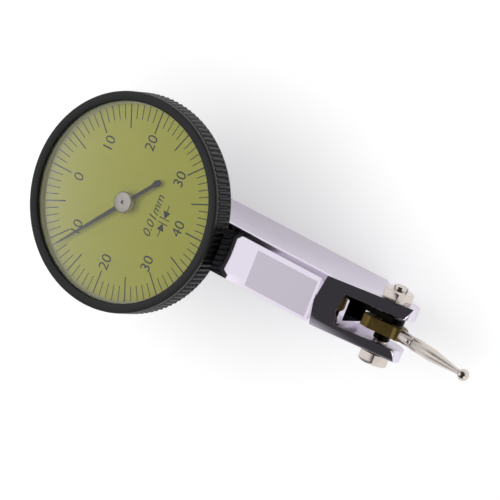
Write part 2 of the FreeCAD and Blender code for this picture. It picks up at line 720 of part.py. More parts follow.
def stylus():
    """Turned shank: thread, body with a wrench groove, long taper and thin neck."""
    end = stylus_length - holder_front
    profile = [(0, 0), (stud_radius, 0), (stud_radius, stud_length - 0.1)]
    start = stud_length - 0.1

    def at(from_ball):
        return start + end - from_ball
    wide = shank_radius * 0.94
    profile += [(stud_radius, start), (wide - 0.15, start), (wide, start + 0.15),
                (wide, at(groove_place + groove_width)), (wide - groove_depth, at(groove_place + groove_width)),
                (wide - groove_depth, at(groove_place)), (shank_radius, at(groove_place)),
                (shank_radius, at(taper_start)), (neck_radius, at(taper_end)), (neck_radius, at(0.0)), (0, at(0.0))]
    profile = [pair for place, pair in enumerate(profile) if place == 0 or pair != profile[place - 1]]
    shank = turned(profile, stylus_axis_point(holder_front - stud_length + 0.1), X_AXIS)
    hole_place = stylus_length - groove_place - groove_width - 2 * wrench_hole
    shank = shank.cut(rod(wrench_hole, stylus_axis_point(hole_place) - Z_AXIS * 3, 6, Z_AXIS))
    shank = shank.cut(Part.makeSphere(ball_radius, stylus_axis_point(stylus_length)))
    return tilted(shank)


def stylus_ball():
    return tilted(Part.makeSphere(ball_radius, stylus_axis_point(stylus_length)))


# ================================================================ pivot screws
def axle_end(way):
    return lever_inner + lever_thickness + 0.1 if way > 0 else -slot_width / 2 + 0.35


def pivot_screw(way, end):
    """Screw with a cone point in the axle's cup and a driver slot outside."""
    tip = axle_end(way)
    shoulder = tip + way * 0.12
    y0, y1 = sorted((shoulder, way * end))
    screw = y_rod(screw_radius, pivot_x, pivot_height, y0, y1)
    neck = sorted((tip, shoulder))
    screw = screw.fuse(y_rod(cone_radius, pivot_x, pivot_height, neck[0], neck[1]))
    screw = screw.fuse(bearing_cone(tip, way, 0))
    slot0, slot1 = sorted((way * (end - 0.6), way * (end + 1)))
    return screw.cut(box(pivot_x - 2, pivot_x + 2, slot0, slot1,
                         pivot_height - slot_cut / 2, pivot_height + slot_cut / 2))


def lock_nut(way):
    """Hexagon nut against the cheek, its corners rounded on the outer side."""
    corner = nut_flats / math.sqrt(3)
    seat = half_width_at(pivot_x + corner) + thread_clearance
    points = [Vector(pivot_x + corner * math.cos(math.radians(60 * side)), way * seat,
                     pivot_height + corner * math.sin(math.radians(60 * side))) for side in range(6)]
    nut = prism(points, Vector(0, way * nut_height, 0))
    dome = turned([(0, 0), (corner + 0.1, 0), (corner + 0.1, nut_height - 0.45), (nut_flats / 2 - 0.1, nut_height),
                   (0, nut_height)], Vector(pivot_x, way * seat, pivot_height), Y_AXIS * way)
    nut = nut.common(dome)
    return nut.cut(y_rod(screw_radius + thread_clearance, pivot_x, pivot_height, -10, 10))


# ================================================================ everything
def build():
    os.makedirs("parts", exist_ok=True)
    save("body_frame", body_frame())
    save("dial_case", dial_case())
    save("case_screws", *[case_screw(x, y) for x in case_screw_x for y in (-case_screw_y, case_screw_y)])
    save("bezel", bezel())
    save("bezel_wire", bezel_wire())
    save("dial_plate", dial_plate())
    save("rim_ring", rim_ring())
    save("crystal", crystal())
    save("movement_plate", movement_plate())
    save("plate_screws", *[plate_screw(turn) for turn in range(plate_screw_count)])
    save("upper_cheek", cheek(1))
    save("lower_cheek", cheek(-1))
    save("lower_bridge", lower_bridge())
    save("crown_jewels", *crown_jewels())
    save("centre_jewels", *centre_jewels())
    save("crown_arbor", crown_arbor())
    save("crown_gear", crown_gear())
    save("centre_pinion", centre_pinion())
    save("hairspring", hairspring())
    save("spring_stud", spring_stud())
    save("spring_collet", spring_collet())
    save("pointer", pointer())
    save("pointer_hub", pointer_hub())
    save("lever_arm", lever_arm())
    save("friction_collar", friction_collar())
    save("friction_washer", friction_washer())
    save("stylus_holder", stylus_holder())
    save("stylus", stylus())
    save("stylus_ball", stylus_ball())
    save("pivot_screw_upper", pivot_screw(1, screw_end))
    save("pivot_screw_lower", pivot_screw(-1, screw_lower_end))
    save("lock_nut_upper", lock_nut(1))
    save("lock_nut_lower", lock_nut(-1))


build()
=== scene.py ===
import math

import bmesh
import bpy
from bpy.props import FloatProperty, FloatVectorProperty, IntProperty, PointerProperty
from mathutils import Matrix, Vector


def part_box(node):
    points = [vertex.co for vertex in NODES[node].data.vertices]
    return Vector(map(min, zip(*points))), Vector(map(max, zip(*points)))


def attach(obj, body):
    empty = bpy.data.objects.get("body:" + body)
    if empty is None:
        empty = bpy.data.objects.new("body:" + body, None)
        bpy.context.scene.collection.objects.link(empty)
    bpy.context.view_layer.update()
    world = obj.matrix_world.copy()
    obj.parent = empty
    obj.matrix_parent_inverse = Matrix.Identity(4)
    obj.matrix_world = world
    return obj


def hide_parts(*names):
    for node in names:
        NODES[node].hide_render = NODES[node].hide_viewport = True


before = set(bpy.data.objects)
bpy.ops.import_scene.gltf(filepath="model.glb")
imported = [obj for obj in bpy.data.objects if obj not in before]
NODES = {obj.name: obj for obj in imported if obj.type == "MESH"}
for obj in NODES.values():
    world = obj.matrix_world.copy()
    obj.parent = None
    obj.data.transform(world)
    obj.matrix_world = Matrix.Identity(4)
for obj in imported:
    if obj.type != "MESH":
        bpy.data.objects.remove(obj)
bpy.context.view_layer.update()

bl_info = {
    "name": "Dial Test Indicator",
    "version": (1, 0, 0),
    "blender": (4, 5, 0),
    "location": "3D View > Sidebar > Indicator",
    "description": "Dresses the lever type dial test indicator round its CAD frame",
    "category": "Add Mesh",
}

MM = 0.001
PRINT_FILM = 0.02 * MM               # how far the print stands off the enamel
WELD = 1e-7                          # points closer than this are one, on turned and printed pieces
CAD_WELD = 1e-6                      # and on copies of CAD nodes
SHARP_EDGE = 28                      # degrees; a copy's edges above this are rounded


# ------------------------------------------------------------------ colour and node helpers
def linear(colour):
    """An sRGB hex string as a linear RGBA tuple."""
    channels = [int(colour[place:place + 2], 16) / 255 for place in (1, 3, 5)]
    return tuple(c / 12.92 if c <= 0.04045 else ((c + 0.055) / 1.055) ** 2.4 for c in channels) + (1.0,)


def node(tree, kind, settings=None, inputs=None):
    """Adds a node, sets its attributes, and sets or links its inputs."""
    added = tree.nodes.new(kind)
    for name, value in (settings or {}).items():
        setattr(added, name, value)
    for name, value in (inputs or {}).items():
        if isinstance(value, bpy.types.NodeSocket):
            tree.links.new(value, added.inputs[name])
        else:
            added.inputs[name].default_value = value
    return added


def new_material(name):
    """An empty material, its tree and its output node."""
    material = bpy.data.materials.new(name)
    material.use_nodes = True
    material.node_tree.nodes.clear()
    output = node(material.node_tree, "ShaderNodeOutputMaterial")
    return material, material.node_tree, output


def sizes():
    return bpy.context.scene.indicator_sizes


def colours():
    return bpy.context.scene.indicator_colours


# ------------------------------------------------------------------ properties
def length(name, description, default_mm):
    return FloatProperty(name=name, description=description, default=default_mm * MM, unit="LENGTH",
                         precision=5)


def shaded(colour, red, green, blue):
    """A colour with each channel multiplied, as an opaque RGBA tuple."""
    return tuple(min(1, part * share) for part, share in zip(colour[:3], (red, green, blue))) + (1.0,)


def tint(name, description, default_hex):
    return FloatVectorProperty(name=name, description=description, default=linear(default_hex),
                               size=4, min=0.0, max=1.0, subtype="COLOR")


class IndicatorSizes(bpy.types.PropertyGroup):
    body_edge: length("Body edge", "Radius broken on the edges of the plated body", 0.14)
    fork_edge: length("Small edge", "Radius broken on the holder, the lever and the nuts", 0.08)
    pad_thickness: length("Pad half thickness", "Half of the satin pad let into the upper rail", 0.06)
    knurl_depth: length("Knurl depth", "Depth of the grooves round the bezel", 0.42)
    knurl_count: IntProperty(name="Knurl count", description="Ribs round the bezel",
                             default=120, min=24, max=300)
    division_count: IntProperty(name="Divisions", description="Divisions in a turn of the dial",
                                default=80, min=20, max=200)
    tick_outer: length("Tick end", "Outer end of every division line, from the dial's centre", 16.9)
    tick_short: length("Short tick start", "Inner end of a short line, from the dial's centre", 14.3)
    tick_long: length("Long tick start", "Inner end of a long line, from the dial's centre", 12.75)
    tick_width: length("Short tick width", "Width of a short division line", 0.15)
    tick_long_width: length("Long tick width", "Width of a long division line", 0.22)
    numeral_height: length("Numeral height", "Height of the digits on the dial", 2.05)
    numeral_circle: length("Numeral circle", "Radius on which the numbers are centred", 11.1)
    hub_bevel: length("Hub edge", "Radius on the edge of the pointer's cap", 0.2)
    ball_radius: length("Ball radius", "Radius of the measuring ball", 1.05)


class IndicatorColours(bpy.types.PropertyGroup):
    chrome: tint("Chrome", "Bright and satin chrome of the body", "#DCD5E3")
    anodised: tint("Black anodising", "Black of the bezel", "#0C0C0D")
    enamel: tint("Dial enamel", "Yellow of the dial face", "#CACB1E")
    print_black: tint("Print", "Black of the divisions and numbers", "#16170F")
    rim: tint("Rim ring", "Pale ring round the dial", "#EDEDEF")
    nickel: tint("Nickel", "Warm nickel of the screws, the nuts and the stylus", "#CFC6C0")
    brass: tint("Aged brass", "Brown brass of the stylus holder", "#7C6A3C")
    bright_brass: tint("Brass", "Clean brass of the movement", "#D2B264")
    blackened: tint("Blackened steel", "Dark finish of the lever", "#15130F")
    pointer: tint("Pointer lacquer", "Black of the pointer", "#1A1A1A")
    floor: tint("Floor", "Plain pale floor", "#F2F2F2")


# ------------------------------------------------------------------ materials
def plain_metal(name, colour, roughness, grain_mm=0.4, grain=0.04, bump=0.02):
    """Bare or plated metal: a fine uneven polish, so that its highlights break up slightly."""
    material, tree, output = new_material(name)
    place = node(tree, "ShaderNodeTexCoord").outputs["Object"]
    patches = node(tree, "ShaderNodeTexNoise", inputs={
        "Vector": place, "Scale": 1 / (grain_mm * MM), "Detail": 3.0})
    spread = node(tree, "ShaderNodeMapRange", inputs={
        "Value": patches.outputs["Fac"], "To Min": roughness - grain, "To Max": roughness + grain})
    relief = node(tree, "ShaderNodeBump", inputs={"Height": patches.outputs["Fac"], "Strength": bump,
                                                  "Distance": 0.01 * MM})
    shader = node(tree, "ShaderNodeBsdfPrincipled", inputs={
        "Base Color": colour, "Metallic": 1.0, "Roughness": spread.outputs["Result"],
        "Normal": relief.outputs["Normal"]})
    tree.links.new(shader.outputs["BSDF"], output.inputs["Surface"])
    return material


def body_chrome():
    """Chrome plate on ground steel: satin on the sides, mirror bright on the rails and the fork's roof."""
    material, tree, output = new_material("Chrome plate, satin and bright")
    coords = node(tree, "ShaderNodeTexCoord")
    facing = node(tree, "ShaderNodeSeparateXYZ", inputs={"Vector": coords.outputs["Normal"]})
    sideways = node(tree, "ShaderNodeMath", {"operation": "ABSOLUTE"}, {0: facing.outputs["Y"]})
    side = node(tree, "ShaderNodeMapRange", {"interpolation_type": "SMOOTHSTEP"}, {
        "Value": sideways.outputs["Value"], "From Min": 0.75, "From Max": 0.97})
    # ground with fine grit along the bar: real streaks are 0.05 mm wide, drawn 0.7 mm wide so that they show
    stretch = node(tree, "ShaderNodeMapping", inputs={
        "Vector": coords.outputs["Object"], "Scale": (60, 1500, 1500)})
    streaks = node(tree, "ShaderNodeTexNoise", inputs={
        "Vector": stretch.outputs["Vector"], "Scale": 1.0, "Detail": 4.0})
    blotch = node(tree, "ShaderNodeTexNoise", inputs={
        "Vector": coords.outputs["Object"], "Scale": 900.0, "Detail": 4.0})
    grain = node(tree, "ShaderNodeMath", {"operation": "ADD"}, {
        0: streaks.outputs["Fac"], 1: blotch.outputs["Fac"]})
    satin = node(tree, "ShaderNodeMapRange", inputs={"Value": grain.outputs["Value"], "From Min": 0.6,
                                                     "From Max": 1.4, "To Min": 0.30, "To Max": 0.42})
    rough = node(tree, "ShaderNodeMix", {"data_type": "FLOAT"}, {
        0: side.outputs["Result"], 2: 0.07, 3: satin.outputs["Result"]})
    strength = node(tree, "ShaderNodeMath", {"operation": "MULTIPLY"}, {0: side.outputs["Result"], 1: 0.25})
    relief = node(tree, "ShaderNodeBump", inputs={"Height": grain.outputs["Value"], "Distance": 0.01 * MM,
                                                  "Strength": strength.outputs["Value"]})
    shader = node(tree, "ShaderNodeBsdfPrincipled", inputs={
        "Base Color": tuple(colours().chrome), "Metallic": 1.0, "Roughness": rough.outputs[0],
        "Normal": relief.outputs["Normal"]})
    tree.links.new(shader.outputs["BSDF"], output.inputs["Surface"])
    return material


def pad_satin():
    """Chrome plate blasted with fine bead, on the pad of the upper rail: an even pale sheen."""
    return plain_metal("Chrome plate, bead blasted", tuple(colours().chrome), 0.38, 0.12, 0.05, 0.3)


def black_anodising():
    """Black anodised aluminium, turned and knurled: a dark film with a soft grey sheen."""
    material, tree, output = new_material("Black anodised aluminium")
    place = node(tree, "ShaderNodeTexCoord").outputs["Object"]
    fine = node(tree, "ShaderNodeTexNoise", inputs={"Vector": place, "Scale": 2500.0, "Detail": 5.0})
    spread = node(tree, "ShaderNodeMapRange", inputs={
        "Value": fine.outputs["Fac"], "To Min": 0.32, "To Max": 0.50})
    film = colours().anodised
    shade = node(tree, "ShaderNodeMix", {"data_type": "RGBA"}, {
        0: fine.outputs["Fac"], 6: shaded(film, 0.7, 0.7, 0.7), 7: shaded(film, 1.25, 1.25, 1.25)})
    relief = node(tree, "ShaderNodeBump", inputs={"Height": fine.outputs["Fac"], "Strength": 0.15,
                                                  "Distance": 0.02 * MM})
    shader = node(tree, "ShaderNodeBsdfPrincipled", inputs={
        "Base Color": shade.outputs[2], "Roughness": spread.outputs["Result"], "Specular IOR Level": 0.45,
        "Normal": relief.outputs["Normal"]})
    tree.links.new(shader.outputs["BSDF"], output.inputs["Surface"])
    return material


def dial_enamel():
    """Baked yellow enamel on brass sheet: a flat colour with the faint mottle of a sprayed coat."""
    material, tree, output = new_material("Yellow enamel")
    place = node(tree, "ShaderNodeTexCoord").outputs["Object"]
    mottle = node(tree, "ShaderNodeTexNoise", inputs={"Vector": place, "Scale": 220.0, "Detail": 6.0,
                                                      "Roughness": 0.65})
    base = colours().enamel
    shade = node(tree, "ShaderNodeMix", {"data_type": "RGBA"}, {
        0: mottle.outputs["Fac"], 6: shaded(base, 0.93, 0.93, 0.8), 7: shaded(base, 1.06, 1.06, 1.2)})
    peel = node(tree, "ShaderNodeTexNoise", inputs={"Vector": place, "Scale": 1800.0, "Detail": 2.0})
    relief = node(tree, "ShaderNodeBump", inputs={"Height": peel.outputs["Fac"], "Strength": 0.06,
                                                  "Distance": 0.02 * MM})
    shader = node(tree, "ShaderNodeBsdfPrincipled", inputs={
        "Base Color": shade.outputs[2], "Roughness": 0.42, "Specular IOR Level": 0.35,
        "Normal": relief.outputs["Normal"]})
    tree.links.new(shader.outputs["BSDF"], output.inputs["Surface"])
    return material


def printed_ink(name, colour, roughness):
    """Pad printed black ink: almost matt, its film a little uneven."""
    material, tree, output = new_material(name)
    place = node(tree, "ShaderNodeTexCoord").outputs["Object"]
    film = node(tree, "ShaderNodeTexNoise", inputs={"Vector": place, "Scale": 1500.0, "Detail": 3.0})
    uneven = 0.08
    spread = node(tree, "ShaderNodeMapRange", inputs={
        "Value": film.outputs["Fac"], "To Min": roughness - uneven, "To Max": roughness + uneven})
    shader = node(tree, "ShaderNodeBsdfPrincipled", inputs={
        "Base Color": colour, "Roughness": spread.outputs["Result"], "Specular IOR Level": 0.3})
    tree.links.new(shader.outputs["BSDF"], output.inputs["Surface"])
    return material


def rim_aluminium():
    """Satin anodised aluminium spacer ring, pale and almost without reflections."""
    material, tree, output = new_material("Satin aluminium")
    place = node(tree, "ShaderNodeTexCoord").outputs["Object"]
    # turning marks are rings 0.05 mm apart, drawn coarser so that they show
    rings = node(tree, "ShaderNodeTexWave", {"wave_type": "BANDS", "bands_direction": "Z"}, {
        "Vector": place, "Scale": 800.0, "Distortion": 0.4, "Detail": 2.0})
    spread = node(tree, "ShaderNodeMapRange", inputs={
        "Value": rings.outputs["Fac"], "To Min": 0.45, "To Max": 0.6})
    shader = node(tree, "ShaderNodeBsdfPrincipled", inputs={
        "Base Color": tuple(colours().rim), "Metallic": 0.25, "Roughness": spread.outputs["Result"]})
    tree.links.new(shader.outputs["BSDF"], output.inputs["Surface"])
    return material


def acrylic():
    """Clear moulded acrylic: a thin dome that shows only as a sheen; lamps pass through it."""
    material, tree, output = new_material("Clear acrylic")
    gloss = node(tree, "ShaderNodeFresnel", inputs={"IOR": 1.49})
    clear = node(tree, "ShaderNodeBsdfTransparent")
    sheen = node(tree, "ShaderNodeBsdfGlossy", inputs={"Roughness": 0.03})
    mixed = node(tree, "ShaderNodeMixShader", inputs={0: gloss.outputs["Fac"], 1: clear.outputs["BSDF"],
                                                      2: sheen.outputs["BSDF"]})
    tree.links.new(mixed.outputs["Shader"], output.inputs["Surface"])
    return material


def aged_brass():
    """Brass darkened by handling: brown patches over a dull yellow ground, with brighter patches between
    them.
    """
    material, tree, output = new_material("Aged brass")
    place = node(tree, "ShaderNodeTexCoord").outputs["Object"]
    stains = node(tree, "ShaderNodeTexNoise", inputs={"Vector": place, "Scale": 700.0, "Detail": 5.0,
                                                      "Roughness": 0.7})
    base = colours().brass
    shade = node(tree, "ShaderNodeMix", {"data_type": "RGBA"}, {
        0: stains.outputs["Fac"], 6: shaded(base, 0.45, 0.42, 0.4), 7: shaded(base, 1.5, 1.5, 1.4)})
    spread = node(tree, "ShaderNodeMapRange", inputs={"Value": stains.outputs["Fac"], "To Min": 0.30,
                                                      "To Max": 0.55})
    relief = node(tree, "ShaderNodeBump", inputs={"Height": stains.outputs["Fac"], "Strength": 0.2,
                                                  "Distance": 0.02 * MM})
    shader = node(tree, "ShaderNodeBsdfPrincipled", inputs={
        "Base Color": shade.outputs[2], "Metallic": 0.9, "Roughness": spread.outputs["Result"],
        "Normal": relief.outputs["Normal"]})
    tree.links.new(shader.outputs["BSDF"], output.inputs["Surface"])
    return material


def ruby():
    """Synthetic ruby: deep red, glossy and partly clear."""
    material, tree, output = new_material("Synthetic ruby")
    place = node(tree, "ShaderNodeTexCoord").outputs["Object"]
    depth = node(tree, "ShaderNodeTexNoise", inputs={"Vector": place, "Scale": 3000.0, "Detail": 1.0})
    shade = node(tree, "ShaderNodeMix", {"data_type": "RGBA"}, {
        0: depth.outputs["Fac"], 6: linear("#8C0A2A"), 7: linear("#B5123C")})
    shader = node(tree, "ShaderNodeBsdfPrincipled", inputs={
        "Base Color": shade.outputs[2], "Roughness": 0.08, "IOR": 1.76})
    tree.links.new(shader.outputs["BSDF"], output.inputs["Surface"])
    return material


MATERIALS = {}


def make_materials():
    tints = colours()
    MATERIALS.update({
        "body": body_chrome(),
        "pad": pad_satin(),
        "black": black_anodising(),
        "enamel": dial_enamel(),
        "ink": printed_ink("Black printing ink", tuple(tints.print_black), 0.6),
        "lacquer": printed_ink("Black lacquer", tuple(tints.pointer), 0.4),
        "rim": rim_aluminium(),
        "acrylic": acrylic(),
        # bright nickel plate on turned steel: warm, sharp highlights
        "nickel": plain_metal("Bright nickel plate", tuple(tints.nickel), 0.16, 0.5, 0.04, 0.03),
        # nickel plate over a brushed cap: broader highlights
        "cap": plain_metal("Brushed nickel plate", tuple(tints.nickel), 0.38, 0.15, 0.06, 0.15),
        # nickel plate on a finely turned shank: a soft warm gleam
        "shank": plain_metal("Satin nickel plate", tuple(tints.nickel), 0.28, 0.3, 0.05, 0.05),
        # ground carbide ball, mirror bright
        "ball": plain_metal("Polished hard metal", tuple(tints.nickel), 0.08, 0.6, 0.02, 0.01),
        "aged": aged_brass(),
        # brass plate of the movement, fine grained by brushing
        "brass": plain_metal("Brushed brass", tuple(tints.bright_brass), 0.28, 0.2, 0.06, 0.08),
        # oil blackened spring steel: dark with a dull gleam
        "blackened": plain_metal("Blackened steel", tuple(tints.blackened), 0.36, 0.3, 0.06, 0.1),
        "steel": plain_metal("Turned steel", linear("#A9A9AC"), 0.25, 0.25, 0.05, 0.05),
        "blued": plain_metal("Blued spring steel", linear("#4A566E"), 0.25, 0.4, 0.04, 0.02),
        "ruby": ruby(),
    })


CAD_FINISHES = {
    "black": ("dial_case",),
    "enamel": ("dial_plate",),
    "rim": ("rim_ring",),
    "lacquer": ("pointer",),
    "brass": ("movement_plate", "upper_cheek", "lower_cheek", "lower_bridge", "crown_gear", "spring_stud",
              "spring_collet"),
    "steel": ("case_screws", "plate_screws", "bezel_wire", "friction_washer", "crown_arbor", "centre_pinion"),
    "blued": ("hairspring",),
    "ruby": ("crown_jewels", "centre_jewels"),
}


# ------------------------------------------------------------------ mesh helpers
def add_piece(bm, name, body, material, stands_for=(), smooth_degrees=32):
    """Turns a bmesh into a piece that rides on a body and may stand for CAD nodes."""
    mesh = bpy.data.meshes.new(name)
    bm.to_mesh(mesh)
    bm.free()
    mesh.shade_smooth()
    mesh.set_sharp_from_angle(angle=math.radians(smooth_degrees))
    piece = bpy.data.objects.new(name, mesh)
    bpy.context.scene.collection.objects.link(piece)
    mesh.materials.append(MATERIALS[material])
    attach(piece, body)
    if stands_for:
        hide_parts(*stands_for)
    return piece


def spun(profile, steps):
    """A bmesh of a profile of (radius, height) pairs turned about +Z."""
    bm = bmesh.new()
    line = [bm.verts.new((radius, 0, height)) for radius, height in profile]
    edges = [bm.edges.new(pair) for pair in zip(line, line[1:])]
    bmesh.ops.spin(bm, geom=line + edges, cent=(0, 0, 0), axis=(0, 0, 1), dvec=(0, 0, 0),
                   angle=2 * math.pi, steps=steps, use_merge=True, use_duplicate=False)
    bmesh.ops.remove_doubles(bm, verts=bm.verts, dist=WELD)
    bmesh.ops.recalc_face_normals(bm, faces=bm.faces)
    return bm


def softened(cad_node, width):
    """A merged copy of a CAD node with its sharp edges rounded."""
    bm = bmesh.new()
    bm.from_mesh(NODES[cad_node].data)
    bmesh.ops.remove_doubles(bm, verts=bm.verts, dist=CAD_WELD)
    bmesh.ops.dissolve_limit(bm, angle_limit=math.radians(0.5), verts=bm.verts, edges=bm.edges)
    sharp = [edge for edge in bm.edges
             if len(edge.link_faces) == 2 and edge.calc_face_angle(0) > math.radians(SHARP_EDGE)]
    bmesh.ops.bevel(bm, geom=sharp, offset=width, offset_type="OFFSET", segments=2, profile=0.5,
                    affect="EDGES", clamp_overlap=True, material=-1)
    bmesh.ops.remove_doubles(bm, verts=bm.verts, dist=CAD_WELD)
    return bm


def printed_word(text, height, slant=0.0):
    """A flat printed word as a bmesh, centred, reading along +X, its film a print's thickness."""
    digit_share = 0.73               # of the font's size that a digit is high
    curve = bpy.data.curves.new("word", "FONT")
    curve.body = text
    curve.align_x, curve.align_y = "CENTER", "CENTER"
    curve.size = height / digit_share
    curve.shear = slant
    curve.extrude = PRINT_FILM
    curve.resolution_u = 4
    word = bpy.data.objects.new("word", curve)
    bpy.context.scene.collection.objects.link(word)
    graph = bpy.context.evaluated_depsgraph_get()
    mesh = bpy.data.meshes.new_from_object(word.evaluated_get(graph))
    bm = bmesh.new()
    bm.from_mesh(mesh)
    bpy.data.objects.remove(word)
    bpy.data.curves.remove(curve)
    bpy.data.meshes.remove(mesh)
    bmesh.ops.remove_doubles(bm, verts=bm.verts, dist=WELD)
    low = Vector([min(v.co[i] for v in bm.verts) for i in range(3)])
    high = Vector([max(v.co[i] for v in bm.verts) for i in range(3)])
    bmesh.ops.translate(bm, vec=-(low + high) / 2, verts=bm.verts)
    return bm


def joined(pieces):
    """Several bmeshes as one."""
    whole = bmesh.new()
    for bm in pieces:
        mesh = bpy.data.meshes.new("part")
        bm.to_mesh(mesh)
        bm.free()
        whole.from_mesh(mesh)
        bpy.data.meshes.remove(mesh)
    return whole


def centre_of(cad_node):
    low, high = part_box(cad_node)
    return (low + high) / 2


# ------------------------------------------------------------------ operators
class INDICATOR_OT_finishes(bpy.types.Operator):
    """Make the materials and give the CAD nodes that stay in view their finishes"""
    bl_idname = "indicator.finishes"
    bl_label = "Finishes"

    def execute(self, context):
        make_materials()
        for finish, names in CAD_FINISHES.items():
            for name in names:
                mesh = NODES[name].data
                mesh.materials.clear()
                mesh.materials.append(MATERIALS[finish])
        return {"FINISHED"}


class INDICATOR_OT_body(bpy.types.Operator):
    """Plated body bar with its rails and fork, edges broken, and the satin pad on the upper rail"""
    bl_idname = "indicator.body"
    bl_label = "Body"

    def execute(self, context):
        bm = softened("body_frame", sizes().body_edge)
        add_piece(bm, "body_bar", "frame", "body", ("body_frame",))

        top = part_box("body_frame")[1].z
        bm = bmesh.new()
        bmesh.ops.create_cube(bm, size=1.0)
        start, end, left, right = 26.7 * MM, 39.6 * MM, -3.4 * MM, 3.06 * MM
        proud = 0.001 * MM
        thick = sizes().pad_thickness
        bmesh.ops.scale(bm, vec=(end - start, right - left, 2 * thick), verts=bm.verts)
        bmesh.ops.translate(bm, vec=((start + end) / 2, (left + right) / 2, top - thick + proud),
                            verts=bm.verts)
        add_piece(bm, "rail_pad", "frame", "pad")
        return {"FINISHED"}


class INDICATOR_OT_bezel(bpy.types.Operator):
    """Knurled bezel ring turned from black anodised aluminium"""
    bl_idname = "indicator.bezel"
    bl_label = "Bezel"

    def execute(self, context):
        low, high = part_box("bezel")
        outer, bottom, top = high.x, low.z, high.z
        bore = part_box("dial_plate")[1].x
        opening = bore - 0.34 * MM
        foot, foot_edge = outer - 0.25 * MM, 0.2 * MM
        knurl_low, knurl_high = bottom + 0.6 * MM, top - 1.0 * MM
        shoulder, runout, lip = 0.02 * MM, 0.1 * MM, 0.5 * MM
        # rounded edges as steps in from the side and down from the top, in mm
        outer_round = ((0, 0.32), (0.06, 0.14), (0.2, 0.03), (0.4, 0))
        inner_round = ((0.2, 0), (0.06, 0.05), (0, 0.2))
        profile = [(bore, bottom), (foot - foot_edge, bottom), (foot, bottom + foot_edge),
                   (foot, knurl_low - shoulder), (outer, knurl_low + runout), (outer, knurl_high - runout),
                   (foot, knurl_high + shoulder), (outer - 0.05 * MM, knurl_high + 0.25 * MM),
                   (outer, knurl_high + 0.45 * MM)]
        profile += [(outer - inwards * MM, top - down * MM) for inwards, down in outer_round]
        profile += [(opening + outwards * MM, top - down * MM) for outwards, down in inner_round]
        profile += [(opening, top - lip), (bore, top - lip), (bore, bottom)]
        ribs, steps = sizes().knurl_count, 4
        bm = spun(profile, ribs * steps)
        shrink = (outer - sizes().knurl_depth) / outer
        grooves = []
        for vert in bm.verts:
            radius = math.hypot(vert.co.x, vert.co.y)
            if radius > outer - 0.01 * MM and knurl_low < vert.co.z < knurl_high:
                step = round(math.atan2(vert.co.y, vert.co.x) / (2 * math.pi) * ribs * steps) % steps
                if step < steps / 2:
                    grooves.append(vert)
        bmesh.ops.scale(bm, vec=(shrink, shrink, 1), verts=grooves)
        add_piece(bm, "bezel_ring", "bezel", "black", ("bezel",), 26)
        return {"FINISHED"}


class INDICATOR_OT_crystal(bpy.types.Operator):
    """Clear domed crystal over the dial"""
    bl_idname = "indicator.crystal"
    bl_label = "Crystal"

    def execute(self, context):
        low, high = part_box("crystal")
        edge, seat, top = high.x, low.z, high.z
        thick, flange = 0.5 * MM, 0.44 * MM
        rise = top - seat - thick
        rim = edge - flange
        dome = (rim ** 2 + rise ** 2) / (2 * rise)
        rings = 24
        under = []
        for ring in range(rings + 1):
            radius = rim * ring / rings
            under.append((radius, seat + rise - dome + math.sqrt(dome ** 2 - radius ** 2)))
        over = [(radius, height + thick) for radius, height in reversed(under)]
        bm = spun(under + [(edge, seat), (edge, seat + thick)] + over, 96)
        add_piece(bm, "crystal_dome", "bezel", "acrylic", ("crystal",), 40)
        return {"FINISHED"}


